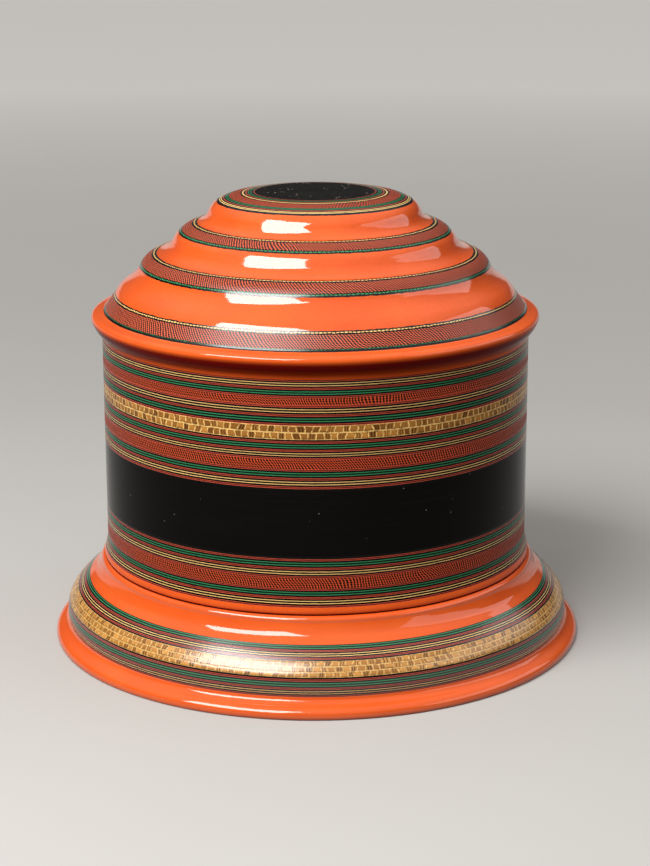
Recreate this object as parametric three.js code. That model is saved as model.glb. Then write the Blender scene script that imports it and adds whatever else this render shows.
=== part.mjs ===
// Lacquer betel box: a flared base carries a round inner box with two lift-out trays,
// and a deep cover with a tiered dome slides down over the box and lands on the base.
// Every piece is a wound bamboo ring or disc, lapped on its neighbour and lacquered over.
// Millimetres, +Z up, origin at the centre of the ring that the box stands on.

import * as THREE from 'three';

// Facets round the axis, shared by every ring so that nested facets stay parallel
const SEGMENTS = 40;

// Joints between the lapped rings
const lapHeight = 3;
const bondLine = 0.3;

// Drum of the cover and how it slides on the box inside it
const drumRadius = 105;
const drumWall = 4;
const drumHeight = 100.6;
const slideClearance = 0.8;

// Hem hoop at the mouth of the cover
const hemHeight = 10.6;
const hemFlare = 1.9;
const hemStraight = 0.8;
const hemSag = -0.5;
const hemEdge = 0.7;

// Base, from the floor up
const footOverhang = 7.4;
const footRimHeight = 3.4;
const footRimRound = 1.6;
const footRimRise = 2.4;
const footRimSag = 0.4;
const footFlangeSlope = 1.6;
const footFlangeHeight = 9;
const mouldingSwell = 7.6;
const mouldingHeight = 22.1;
const mouldingBelly = 7.4;
const mouldingSag = 1;
const mouldingTuck = 0.3;
const shoulderRun = 9;
const shoulderHeight = 10.3;
const shoulderSag = 0.4;
const shoulderWeb = 5.3;
const beadStep = 1.3;
const beadHeight = 2.2;
const beadGroove = 0.8;
const footSeat = 4.8;
const footCollar = 4.3;

// Eave at the foot of the dome
const eaveOverhang = 5.1;
const eaveUnderHeight = 9.7;
const eaveUnderSag = 0.9;
const eaveRimRound = 1.6;
const eaveInset = 1.8;
const eaveHeight = 13.4;
const eaveFillet = 0.9;

// Dome, from the eave up: each tier is a band, then a slope or cove up to the next joint
const lowerBandRun = 4.76;
const lowerBandRise = 6.8;
const lowerSlopeRun = 7.84;
const lowerSlopeRise = 9.1;
const lowerSlopeSag = 1.3;
const lowerCoveRun = 4;
const lowerCoveRise = 2.7;
const lowerCoveSag = -0.5;
const middleBandRun = 7.4;
const middleBandRise = 7.65;
const middleBandSag = 1.3;
const middleCoveRun = 9.6;
const middleCoveRise = 6.35;
const middleCoveSag = -1.8;
const upperBandRun = 10.5;
const upperBandRise = 8.46;
const upperBandSag = 1.3;
const upperCoveRun = 6.8;
const upperCoveRise = 4.54;
const upperCoveSag = -1.3;
const upperWallRun = 5.7;
const upperWallRise = 6.6;
const upperWallSag = 1.3;
const domeSeat = 5;
const domeCollar = 2.5;
const domeShell = 5;
const domeInnerRise = 2.5;

// Crown: a banded ring let into the dome, with a plain disc let into the ring
const crownRise = 3.6;
const crownRingWidth = 17.4;
const crownRingSag = 1;
const crownSeat = 4.8;
const crownSpigot = 4.2;
const crownDiscThickness = 4.1;
const crownLedge = 4.2;

// Inner box
const boxWall = 4;
const boxRimDrop = 10.6;
const boxRimHeight = 6;
const boxRimRound = 1.1;
const boxFloorThickness = 3.6;
const boxLedge = 8.2;
const leafWellDepth = 44;
const ledgeWidth = 5.9;
const ledgeThickness = 4;

// Trays, which fill the box between the ledge and the rim
const TRAY_COUNT = 2;
const trayClearance = 0.8;
const trayWall = 3;
const trayFloorThickness = 3;
const trayLip = 3;
const trayLipThickness = 1.5;
const trayRimHeight = 3;
const trayRimRound = 0.8;
const trayRimDrop = 4;

// Finishes
const coralLacquer = new THREE.MeshStandardMaterial({ color: 0xd84a1e, roughness: 0.22, metalness: 0 });
const bandedLacquer = new THREE.MeshStandardMaterial({ color: 0x7a2a1c, roughness: 0.26, metalness: 0 });
const blackLacquer = new THREE.MeshStandardMaterial({ color: 0x0c0a09, roughness: 0.2, metalness: 0 });
const innerLacquer = new THREE.MeshStandardMaterial({ color: 0x8c1f14, roughness: 0.35, metalness: 0 });

// Radii worked out from the drum, outwards to the foot and inwards to the crown
const drumInner = drumRadius - drumWall;
const hemRadius = drumRadius + hemFlare;
const beadRadius = hemRadius + beadStep;
const shoulderRadius = beadRadius + shoulderRun;
const mouldingRadius = shoulderRadius + mouldingSwell;
const footRadius = mouldingRadius + footOverhang;
const eaveRadius = drumRadius + eaveOverhang;
const lowerFootRadius = drumRadius - eaveInset;
const lowerShoulderRadius = lowerFootRadius - lowerBandRun;
const lowerCoveRadius = lowerShoulderRadius - lowerSlopeRun;
const middleFootRadius = lowerCoveRadius - lowerCoveRun;
const middleShelfRadius = middleFootRadius - middleBandRun;
const upperFootRadius = middleShelfRadius - middleCoveRun;
const upperShelfRadius = upperFootRadius - upperBandRun;
const upperWallRadius = upperShelfRadius - upperCoveRun;
const crownRadius = upperWallRadius - upperWallRun;
const crownBore = crownRadius - crownRingWidth;
const boxRadius = drumInner - slideClearance;
const boxInner = boxRadius - boxWall;
const trayRadius = boxInner - trayClearance;

// Heights worked out from the floor up
const shoulderBottom = footFlangeHeight + mouldingHeight;
const seatHeight = shoulderBottom + shoulderHeight;
const boxSocket = shoulderBottom + shoulderWeb;
const hemTop = seatHeight + hemHeight;
const drumTop = hemTop + drumHeight;
const eaveRimZ = drumTop + eaveUnderHeight;
const eaveTop = drumTop + eaveHeight;
const lowerShoulderZ = eaveTop + lowerBandRise;
const lowerCoveZ = lowerShoulderZ + lowerSlopeRise;
const middleFootZ = lowerCoveZ + lowerCoveRise;
const middleShelfZ = middleFootZ + middleBandRise;
const upperFootZ = middleShelfZ + middleCoveRise;
const upperShelfZ = upperFootZ + upperBandRise;
const upperWallZ = upperShelfZ + upperCoveRise;
const crownZ = upperWallZ + upperWallRise;
const topZ = crownZ + crownRise;
const discSeatZ = topZ - crownDiscThickness;
const boxTop = drumTop - boxRimDrop;
const boxRimZ = boxTop - boxRimHeight;
const boxFloorTop = boxSocket + boxFloorThickness;
const ledgeBottom = boxFloorTop + leafWellDepth;
const ledgeTop = ledgeBottom + ledgeThickness;
const trayHeight = (boxTop - trayRimDrop - ledgeTop) / TRAY_COUNT;

const at = (r, z) => new THREE.Vector2(r, z);

// Points of a shallow bow that climbs from one point to the next, without its first point.
// A positive sag swells outwards and a negative one hollows inwards.
function bow(from, to, sag, steps = 3) {
  const chord = to.clone().sub(from);
  const outward = at(chord.y, -chord.x).normalize();
  const points = [];
  for (let step = 1; step <= steps; step += 1) {
    const share = step / steps;
    const offset = 4 * sag * share * (1 - share);
    points.push(from.clone().addScaledVector(chord, share).addScaledVector(outward, offset));
  }
  return points;
}

// A lap joint: the piece above rests on a flat seat, round a collar of the piece below.
function lapJoint(r, z, seatWidth, inner) {
  return { r, z, seat: r - seatWidth, collar: r - seatWidth - bondLine, inner };
}

function lapFoot(joint) {
  return [at(joint.seat, joint.z), at(joint.r, joint.z)];
}

function lapRebate(joint) {
  return [at(joint.inner, joint.z + lapHeight), at(joint.seat, joint.z + lapHeight)];
}

function lapCollar(joint) {
  const collarTop = joint.z + lapHeight;
  return [at(joint.collar, joint.z), at(joint.collar, collarTop), at(joint.inner, collarTop)];
}

// A piece turned round Z from its half section, which closes on itself or ends on the axis.
function turned(name, section, material) {
  const points = section.map((point) => point.clone());
  if (THREE.ShapeUtils.isClockWise(points)) points.reverse();
  const onAxis = points.some((point) => point.x === 0);
  if (!onAxis) points.push(points[0].clone());
  const geometry = new THREE.LatheGeometry(points, SEGMENTS);
  geometry.rotateX(Math.PI / 2);
  const mesh = new THREE.Mesh(geometry, material);
  mesh.name = name;
  return mesh;
}

function disc(name, radius, bottom, thickness, material) {
  const top = bottom + thickness;
  return turned(name, [at(0, bottom), at(radius, bottom), at(radius, top), at(0, top)], material);
}

// Joints of the base, the box and the cover
const footWidth = footSeat + bondLine + footCollar;
const domeWidth = domeSeat + bondLine + domeCollar;
const mouldingFoot = mouldingRadius - mouldingTuck;
const mouldingJoint = lapJoint(mouldingFoot, footFlangeHeight, footSeat, mouldingFoot - footWidth);
const shoulderJoint = lapJoint(shoulderRadius, shoulderBottom, footSeat, shoulderRadius - footWidth);
const rimJoint = lapJoint(boxRadius, boxRimZ, boxWall / 2, boxInner);
const hemJoint = lapJoint(drumRadius, hemTop, drumWall / 2, drumInner);
const eaveJoint = lapJoint(drumRadius, drumTop, drumWall / 2, drumInner);
const lowerJoint = lapJoint(lowerFootRadius, eaveTop, domeSeat, lowerFootRadius - domeWidth);
const middleJoint = lapJoint(middleFootRadius, middleFootZ, domeSeat, middleFootRadius - domeWidth);
const upperJoint = lapJoint(upperFootRadius, upperFootZ, domeSeat, upperFootRadius - domeWidth);

// Base: standing ring with a sloped flange and a rounded rim
function footFlange() {
  const rimFoot = at(footRadius - footRimRound, 0);
  const rim = at(footRadius, footRimHeight);
  const rimTop = at(footRadius - footRimRound, footRimHeight + footRimRise);
  return turned('foot_flange', [
    at(mouldingJoint.inner, 0),
    rimFoot,
    ...bow(rimFoot, rim, footRimSag, 2),
    ...bow(rim, rimTop, footRimSag, 2),
    at(mouldingRadius + footFlangeSlope, footFlangeHeight - footFlangeSlope),
    at(mouldingRadius, footFlangeHeight),
    ...lapCollar(mouldingJoint),
  ], coralLacquer);
}

// Base: the swelling ring that carries the painted bands
function footMoulding() {
  const belly = at(mouldingRadius, footFlangeHeight + mouldingBelly);
  const neck = at(shoulderJoint.r, shoulderJoint.z);
  return turned('foot_moulding', [
    ...lapFoot(mouldingJoint),
    belly,
    ...bow(belly, neck, mouldingSag, 4),
    ...lapCollar(shoulderJoint),
    at(shoulderJoint.inner, shoulderJoint.z - lapHeight),
    ...lapRebate(mouldingJoint),
  ], bandedLacquer);
}

// Base: sloped shoulder with a groove, a bead, the cover's seat and the socket for the box
function footShoulder() {
  const foot = at(shoulderJoint.r, shoulderJoint.z);
  const groove = at(beadRadius, seatHeight - beadHeight - beadGroove);
  return turned('foot_shoulder', [
    ...lapFoot(shoulderJoint),
    ...bow(foot, groove, shoulderSag, 4),
    at(beadRadius - beadGroove, seatHeight - beadHeight),
    at(beadRadius, seatHeight - beadHeight / 2),
    at(hemRadius, seatHeight),
    at(boxRadius + bondLine, seatHeight),
    at(boxRadius + bondLine, boxSocket),
    at(boxInner - boxLedge, boxSocket),
    at(boxInner - boxLedge, shoulderBottom),
    at(shoulderJoint.inner - bondLine, shoulderBottom),
    at(shoulderJoint.inner - bondLine, shoulderBottom + lapHeight),
    at(shoulderJoint.seat, shoulderBottom + lapHeight),
  ], coralLacquer);
}

function boxFloor() {
  return disc('box_floor', boxInner - bondLine, boxSocket, boxFloorThickness, innerLacquer);
}

function boxWallRing() {
  return turned('box_wall', [
    at(boxInner, boxSocket),
    at(boxRadius, boxSocket),
    at(boxRadius, boxRimZ),
    ...lapCollar(rimJoint),
  ], innerLacquer);
}

function boxRimHoop() {
  return turned('box_rim_hoop', [
    ...lapFoot(rimJoint),
    at(boxRadius, boxTop - boxRimRound),
    at(boxRadius - boxRimRound, boxTop),
    at(boxInner + boxRimRound, boxTop),
    at(boxInner, boxTop - boxRimRound),
    ...lapRebate(rimJoint),
  ], blackLacquer);
}

function trayLedgeRing() {
  const outer = boxInner - bondLine;
  return turned('tray_ledge', [
    at(outer - ledgeWidth, ledgeBottom),
    at(outer, ledgeBottom),
    at(outer, ledgeTop),
    at(outer - ledgeWidth, ledgeTop),
  ], innerLacquer);
}

// A shallow tray: a wall with a lip inside its foot, a floor on the lip and a rim hoop on top
function tray(place, bottom) {
  const inner = trayRadius - trayWall;
  const rimBottom = bottom + trayHeight - trayRimHeight;
  const rimTop = bottom + trayHeight;
  const lipTop = bottom + trayLipThickness;
  const wall = turned(`${place}_tray_wall`, [
    at(inner - trayLip, bottom),
    at(trayRadius, bottom),
    at(trayRadius, rimBottom),
    at(inner, rimBottom),
    at(inner, lipTop),
    at(inner - trayLip, lipTop),
  ], innerLacquer);
  const floor = disc(`${place}_tray_floor`, inner - bondLine, lipTop, trayFloorThickness, innerLacquer);
  const rim = turned(`${place}_tray_rim_hoop`, [
    at(inner, rimBottom),
    at(trayRadius, rimBottom),
    at(trayRadius, rimTop - trayRimRound),
    at(trayRadius - trayRimRound, rimTop),
    at(inner + trayRimRound, rimTop),
    at(inner, rimTop - trayRimRound),
  ], blackLacquer);
  return [wall, floor, rim];
}

// Cover: flared hoop round its mouth
function coverHemHoop() {
  const mouth = at(hemRadius, seatHeight + hemEdge);
  const flareTop = at(drumRadius, hemTop - hemStraight);
  return turned('cover_hem_hoop', [
    at(drumInner, seatHeight),
    at(hemRadius - hemEdge, seatHeight),
    mouth,
    ...bow(mouth, flareTop, hemSag),
    at(drumRadius, hemTop),
    ...lapCollar(hemJoint),
  ], bandedLacquer);
}

function coverWall() {
  return turned('cover_wall', [
    ...lapFoot(hemJoint),
    at(drumRadius, drumTop),
    ...lapCollar(eaveJoint),
    ...lapRebate(hemJoint),
  ], bandedLacquer);
}

// Cover: eave with a flat top, a rounded rim and a sloping underside
function eaveFlange() {
  const neck = at(drumRadius, drumTop);
  const rim = at(eaveRadius, eaveRimZ);
  const rimTop = at(eaveRadius - eaveRimRound, eaveRimZ + eaveRimRound);
  return turned('eave_flange', [
    ...lapFoot(eaveJoint),
    ...bow(neck, rim, eaveUnderSag, 3),
    rimTop,
    at(lowerFootRadius + eaveFillet, eaveTop - eaveFillet),
    at(lowerFootRadius, eaveTop),
    ...lapCollar(lowerJoint),
    at(lowerJoint.inner, eaveTop - lapHeight),
    at(drumInner, drumTop + lapHeight + domeInnerRise),
    ...lapRebate(eaveJoint),
  ], coralLacquer);
}

// Cover: one shell of the dome between two lap joints
function domeTier(name, below, outline, above) {
  return turned(name, [
    ...lapFoot(below),
    ...outline,
    ...lapCollar(above),
    at(above.inner, above.z - domeShell),
    ...lapRebate(below),
  ], coralLacquer);
}

function lowerTier() {
  const foot = at(lowerFootRadius, eaveTop);
  const shoulder = at(lowerShoulderRadius, lowerShoulderZ);
  const coveFoot = at(lowerCoveRadius, lowerCoveZ);
  const coveTop = at(middleFootRadius, middleFootZ);
  return domeTier('lower_tier', lowerJoint, [
    ...bow(foot, shoulder, 0, 1),
    ...bow(shoulder, coveFoot, lowerSlopeSag, 4),
    ...bow(coveFoot, coveTop, lowerCoveSag, 2),
  ], middleJoint);
}

function middleTier() {
  const foot = at(middleFootRadius, middleFootZ);
  const shelf = at(middleShelfRadius, middleShelfZ);
  const coveTop = at(upperFootRadius, upperFootZ);
  return domeTier('middle_tier', middleJoint, [
    ...bow(foot, shelf, middleBandSag),
    ...bow(shelf, coveTop, middleCoveSag),
  ], upperJoint);
}

// The upper tier ends in a bored seat, which the crown ring drops into
function upperTier() {
  const foot = at(upperFootRadius, upperFootZ);
  const shelf = at(upperShelfRadius, upperShelfZ);
  const wallFoot = at(upperWallRadius, upperWallZ);
  const wallTop = at(crownRadius, crownZ);
  const wallInner = upperWallRadius - domeShell;
  return turned('upper_tier', [
    ...lapFoot(upperJoint),
    ...bow(foot, shelf, upperBandSag),
    ...bow(shelf, wallFoot, upperCoveSag),
    ...bow(wallFoot, wallTop, upperWallSag),
    at(crownRadius - crownSeat, crownZ),
    at(crownRadius - crownSeat, crownZ - crownSpigot),
    at(wallInner, upperWallZ),
    at(wallInner, upperShelfZ - domeInnerRise),
    ...lapRebate(upperJoint),
  ], coralLacquer);
}

function crownRing() {
  const spigotRadius = crownRadius - crownSeat - bondLine;
  const spigotBottom = crownZ - crownSpigot;
  return turned('crown_ring', [
    at(crownBore - crownLedge, spigotBottom),
    at(spigotRadius, spigotBottom),
    at(spigotRadius, crownZ),
    at(crownRadius, crownZ),
    ...bow(at(crownRadius, crownZ), at(crownBore, topZ), crownRingSag, 4),
    at(crownBore, discSeatZ),
    at(crownBore - crownLedge, discSeatZ),
  ], bandedLacquer);
}

function crownDisc() {
  return disc('crown_disc', crownBore - bondLine, discSeatZ, crownDiscThickness, blackLacquer);
}

const base = new THREE.Group();
base.add(footFlange(), footMoulding(), footShoulder());
base.add(boxFloor(), boxWallRing(), boxRimHoop(), trayLedgeRing());

const trays = new THREE.Group();
trays.add(...tray('lower', ledgeTop), ...tray('upper', ledgeTop + trayHeight));

const cover = new THREE.Group();
cover.add(coverHemHoop(), coverWall(), eaveFlange());
cover.add(lowerTier(), middleTier(), upperTier(), crownRing(), crownDisc());

const betelBox = new THREE.Group();
betelBox.add(base, trays, cover);

export default betelBox;
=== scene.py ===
"""Lacquer betel box: turned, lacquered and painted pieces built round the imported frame.

Sections are half profiles (radius, height) in millimetres, turned round +Z. Bands are painted by height
or by radius, with hand-drawn wobble, engraved hatching and a woven gold pattern made by material nodes.
"""

import math
from typing import NamedTuple

import bpy
from mathutils import Matrix, Vector, noise


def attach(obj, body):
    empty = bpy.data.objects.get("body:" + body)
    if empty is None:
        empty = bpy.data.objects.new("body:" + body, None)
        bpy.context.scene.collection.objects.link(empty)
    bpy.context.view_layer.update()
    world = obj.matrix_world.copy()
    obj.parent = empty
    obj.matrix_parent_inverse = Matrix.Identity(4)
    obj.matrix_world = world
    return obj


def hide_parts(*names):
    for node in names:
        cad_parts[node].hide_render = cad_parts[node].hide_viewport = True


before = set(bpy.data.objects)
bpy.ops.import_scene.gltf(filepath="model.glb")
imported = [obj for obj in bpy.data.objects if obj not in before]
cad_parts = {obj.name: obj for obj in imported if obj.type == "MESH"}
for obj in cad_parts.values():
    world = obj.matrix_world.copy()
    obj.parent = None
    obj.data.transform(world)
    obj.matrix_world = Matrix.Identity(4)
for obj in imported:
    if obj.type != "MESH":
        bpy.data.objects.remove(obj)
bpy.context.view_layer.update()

# Units, in metres
MM = 0.001
MICRON = 1e-6

# Meshes: the pitch of the rows and the smallest step between points in millimetres, the level in metres
SEGMENTS = 192
CURVE_PITCH = 0.8
STRAIGHT_PITCH = 6.4
SAME_POINT = 1e-4
SAME_LEVEL = 1e-7
SHARP_ANGLE = math.radians(32)

# Hand-made unevenness: its depth, a ring's radius counted in waves, and a wave's length along the axis
WOBBLE_DEPTH = 0.08
WOBBLE_ROUND = 1.7
WOBBLE_ALONG = 60.0

# Camera, in metres and degrees, for an image of 650 by 866 pixels
IMAGE_HEIGHT = 866
FOCAL_PIXELS = 2162
SENSOR = 36.0
CAMERA_PLACE = Vector((0.0, -1.0457, 0.3809))
CAMERA_PITCH = math.radians(15.04)
CAMERA_YAW = math.radians(0.25)
CAMERA_ROLL = math.radians(-0.17)

# Studio: the point that the lamps face, the floor and its glow far from the object, in metres
LAMP_TARGET = Vector((0.0, 0.0, 0.12))
FLOOR_HALF = 60.0
GLOW_START, GLOW_FULL = 0.5, 2.6
FLOOR_GLOW = 0.7

# Rise of a ray above the horizon where the dome of light brightens and where the haze ends
SKY_START, SKY_FULL = 0.3, 0.85
HAZE_FADE, HAZE_END = 0.03, 0.10


def tone(red, green, blue):
    """A display colour from 0 to 255 as the linear colour that a shader takes."""
    linear = []
    for value in (red, green, blue):
        share = value / 255
        linear.append(share / 12.92 if share <= 0.04045 else ((share + 0.055) / 1.055) ** 2.4)
    return (*linear, 1.0)


CORAL = tone(234, 97, 34)
CORAL_DEEP = tone(212, 70, 19)
# Painted shade: the dark red that stands for the shadow in the hollow under the eave
CORAL_PAINTED_SHADE = tone(116, 12, 4)
BLACK = tone(8, 7, 6)
RUBBED_BLACK = tone(34, 26, 21)
HAIRLINE = tone(30, 25, 23)
DUST = tone(172, 164, 150)
LINE_BLACK = tone(9, 3, 3)
LINE_RED = tone(206, 84, 60)
RED_GAP = tone(34, 6, 4)
YELLOW = tone(255, 210, 130)
YELLOW_GAP = tone(34, 16, 7)
GREEN = tone(56, 148, 94)
GREEN_GAP = tone(5, 28, 16)
HATCH_GROUND = tone(217, 86, 48)
# Painted sheen: a paler hatch ground that stands for the gloss on the tiers' hatched bands
HATCH_PAINTED_SHEEN = tone(224, 140, 108)
HATCH_DOT = tone(20, 5, 3)
GOLD = tone(196, 134, 60)
GOLD_BRIGHT = tone(248, 202, 122)
# Deep gold of the drum's weave, darkened as painted shade for the drum's upright wall
GOLD_DEEP_PAINTED_SHADE = tone(118, 70, 25)
GOLD_PALE = tone(214, 150, 72)
GOLD_DULL = tone(156, 102, 42)
GOLD_DARK = tone(58, 32, 10)
INNER_RED = tone(126, 26, 16)
INNER_DEEP = tone(84, 16, 11)
UNDER_RED = tone(44, 18, 13)
UNDER_DEEP = tone(14, 9, 8)
FLOOR = tone(186, 183, 178)
FLOOR_PALE = tone(196, 193, 188)
FLOOR_BOUNCE = tone(92, 89, 86)
HAZE = tone(194, 191, 186)


class Kind(NamedTuple):
    """A kind of band: its colour, a code that the gloss and the patterns read, its width in millimetres."""
    colour: tuple
    code: float
    width: float


PLAIN, SMOOTH_BLACK, LINE, HATCH, WEAVE = 0.0, 0.2, 0.4, 0.6, 0.8
CODE_TOLERANCE = 0.05
KINDS = {
    "C": Kind(CORAL, PLAIN, 1.0),
    "B": Kind(BLACK, SMOOTH_BLACK, 1.0),
    "K": Kind(LINE_BLACK, LINE, 0.92),
    "R": Kind(LINE_RED, LINE, 0.27),
    "r": Kind(RED_GAP, LINE, 0.40),
    "Y": Kind(YELLOW, LINE, 0.30),
    "y": Kind(YELLOW_GAP, LINE, 0.90),
    "G": Kind(GREEN, LINE, 0.34),
    "g": Kind(GREEN_GAP, LINE, 0.88),
    "H": Kind(HATCH_GROUND, HATCH, 1.0),
    "W": Kind(GOLD, WEAVE, 1.0),
}
WIDE = "CBHW"

# Pairs of red, yellow, red, green and red lines with black between them
GROUP = "RrRKYyYKRrRKGgGKRrR"
MIRRORED = GROUP[::-1]

# Roughness of the painted lines, and how much that of other kinds of band differs from it
LINE_ROUGHNESS = 0.22
ROUGHNESS_STEPS = {PLAIN: -0.15, HATCH: 0.18, SMOOTH_BLACK: -0.10}

# Relief in micrometres
WAVE_HEIGHT = 70.0
TURNING_MARKS = 34.0
DOT_DEPTH = 14.0
BLOCK_HEIGHT = 30.0
STRAND_DEPTH = 14.0
LINE_GRAIN = 4.0
DUST_HEIGHT = 15.0
HAIRLINE_HEIGHT = 1.2
COIL_HEIGHT = 9.0
BRUSH_HEIGHT = 10.0

# Engraved hatching, in shares of a dot's cell: unsteadiness, shift of a row against the next, shape of a dot
ROW_WANDER, DOT_WANDER = 0.35, 0.28
ROW_SHIFT = 0.44
DOT_SLANT = 0.35
DOT_FLATNESS = 0.55
DOT_CORE, DOT_EDGE = 0.11, 0.18

# Number of dots round the drum, and sizes of patterns in millimetres
DRUM_DOTS = 490
DRUM_HATCH_PITCH, DOME_HATCH_PITCH = 1.12, 1.25
DUST_SPACING = 2.4
SPARSE_DUST_SPACING = 6.5
COIL_PITCH = 3.2


class Weave(NamedTuple):
    """A woven band: its heights, number of blocks and tones, and how strong its outlines and spots are."""
    low: float
    high: float
    rows: float
    columns: int
    deep: tuple
    bright: tuple
    outline: float
    spots: float


# The drum's weave takes darker gold than the moulding's: painted shade, as the upright drum gets less light
# than the moulding's upward slope
DRUM_WEAVE = Weave(124.8, 131.4, 2.0, 192, GOLD_DEEP_PAINTED_SHADE, GOLD, 1.0, 0.9)
MOULDING_WEAVE = Weave(18.25, 24.55, 3.0, 228, GOLD_DULL, GOLD_PALE, 0.7, 0.75)
STRANDS = 3.0

# Bond line between two rings
BOND = 0.3


class Seat(NamedTuple):
    """Where one ring carries the next: a flat seat and, inside it, a collar that centres the ring above.

    edge, collar and bore are radii, level is the height of the seat and rise that of the collar above it.
    """
    edge: float
    level: float
    collar: float
    bore: float
    rise: float = 3.0

    @property
    def top(self):
        """Height of the collar's top."""
        return self.level + self.rise

    @property
    def rim(self):
        """The outer edge of the seat."""
        return self.edge, self.level

    def head(self):
        """Points of the seat and its collar, from the edge in."""
        return self.rim, (self.collar, self.level), (self.collar, self.top), (self.bore, self.top)

    def foot(self):
        """Points of the ring above where it rests on the seat, from the collar out."""
        return (self.collar + BOND, self.level), self.rim

    def socket(self):
        """Points of the ring above round the collar, from the bore to the seat."""
        return (self.bore, self.top), (self.collar + BOND, self.top), (self.collar + BOND, self.level)


# Base, from the floor up
FLANGE_FOOT = (131.5, 0.0)
FLANGE_SEAT = Seat(edge=125.6, level=9.0, collar=119.4, bore=115.1)
MOULDING_SEAT = Seat(edge=114.6, level=30.2, collar=109.0, bore=105.5, rise=1.4)
MOULDING_SHELL = 2.1
SHOULDER_LIP = (106.5, 41.3)
COVER_SEAT = (105.5, 41.4)
WEB_BORE, WEB_FOOT, WEB_TOP = 88.0, 31.1, 36.4
FLANGE_RIM = [FLANGE_FOOT, (132.05, 0.6), (132.2, 1.6), (132.0, 3.0), (131.2, 4.2), (129.8, 5.2),
              (128.0, 6.0), (126.8, 6.8), (125.9, 7.8), FLANGE_SEAT.rim]
MOULDING = [FLANGE_SEAT.rim, (126.0, 12.0), (125.9, 15.0), (125.2, 18.2), (123.2, 21.5), (120.7, 24.4),
            (117.9, 27.2), MOULDING_SEAT.rim]
SHOULDER_RING = [MOULDING_SEAT.rim, (112.9, 31.65), (111.35, 33.0), (110.75, 33.75), (109.9, 35.2),
                 (109.2, 36.6), (108.7, 37.8), (108.4, 38.7), (108.45, 39.3), (108.2, 40.0),
                 (107.5, 40.8), SHOULDER_LIP]

# Inner box
BOX_SEAT = Seat(edge=100.2, level=136.0, collar=97.9, bore=96.2)
BOX_FLOOR_TOP = 40.0
BOX_ROUND_LEVEL, BOX_ROUND = 140.6, 1.4
LEDGE_BORE, LEDGE_FOOT, LEDGE_TOP = 90.0, 84.0, 88.0
LEDGE_ROUND, LEDGE_BEVEL = 0.9, 0.6

# Trays: radii, then heights above the underside, then the rounding of the rim
TRAY_EDGE, TRAY_BORE, TRAY_LIP_BORE = 95.4, 92.4, 89.4
TRAY_LIP, TRAY_FLOOR, TRAY_WALL, TRAY_HEIGHT = 1.5, 4.5, 22.0, 25.0
TRAY_ROUND = 1.1

# Cover, from its mouth up
DRUM_EDGE, DRUM_COLLAR, DRUM_BORE = 105.0, 102.7, 101.0
MOUTH = 41.7
HEM_FOOT = (105.9, MOUTH)
HEM_SEAT = Seat(DRUM_EDGE, 52.0, DRUM_COLLAR, DRUM_BORE)
WALL_SEAT = Seat(DRUM_EDGE, 152.6, DRUM_COLLAR, DRUM_BORE)
BAND_LOW, BAND_HIGH = 69.3, 101.2
EAVE_LIP = (110.05, 162.2)
EAVE_SEAT = Seat(edge=103.2, level=166.0, collar=97.9, bore=95.4)
EAVE_SHELL_LOW, EAVE_SHELL_HIGH = 158.1, 163.0
LOWER_BAND_TOP = (98.44, 172.8)
LOWER_SEAT = Seat(edge=86.7, level=184.6, collar=81.3, bore=78.8)
MIDDLE_BAND_FOOT, MIDDLE_BAND_TOP = (85.3, 187.3), (79.2, 192.25)
MIDDLE_SEAT = Seat(edge=69.6, level=198.6, collar=64.3, bore=61.8)
UPPER_BAND_FOOT, UPPER_BAND_TOP = (65.3, 203.8), (59.1, 207.06)
TIER_SHELL = 5.0
UPPER_BORE, UPPER_SHELL_LOW, UPPER_SHELL_HIGH = 47.3, 204.56, 211.6
CROWN_SEAT = (46.6, 218.2)
CROWN_PLUG, CROWN_BORE, CROWN_FOOT = 41.5, 25.0, 214.0
CROWN_EDGE = (29.0, 221.8)
DISC_RADIUS, DISC_FOOT, DISC_TOP = 28.9, 217.7, 221.75
DISC_BEVEL = (28.6, 221.5)
HEM = [HEM_FOOT, (106.5, 42.1), (106.7, 42.9), (106.2, 45.4), (105.5, 48.2), (105.1, 50.6), HEM_SEAT.rim]
EAVE = [WALL_SEAT.rim, (105.8, 154.5), (107.2, 156.1), (108.5, 157.9), (109.6, 160.2), EAVE_LIP,
        (109.5, 163.4), (108.3, 164.0), (106.2, 164.5), (104.5, 164.9), (103.7, 165.3), EAVE_SEAT.rim]
SHOULDER = [LOWER_BAND_TOP, (97.0, 174.9), (94.8, 177.2), (92.0, 179.2), (89.3, 181.4), LOWER_SEAT.rim,
            MIDDLE_BAND_FOOT, (83.3, 189.8), MIDDLE_BAND_TOP]
COVE = [MIDDLE_BAND_TOP, (76.2, 192.9), (73.3, 194.2), (71.0, 196.3), MIDDLE_SEAT.rim, (67.9, 201.4),
        UPPER_BAND_FOOT, (62.4, 205.7), UPPER_BAND_TOP]
CROWN = [UPPER_BAND_TOP, (56.4, 207.7), (54.0, 209.2), (52.4, 211.6), (51.3, 214.0), (49.4, 216.4),
         CROWN_SEAT, (42.6, 219.7), (36.5, 221.0), CROWN_EDGE]

# Heights over which the painted shade in the hollow under the eave sets in and fades out
HOLLOW_IN = (152.8, 157.4)
HOLLOW_OUT = (159.8, 161.8)

# Sockets of a mix node that mixes colours
MIX_FACTOR, MIX_FIRST, MIX_SECOND, MIX_RESULT = 0, 6, 7, 2


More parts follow.
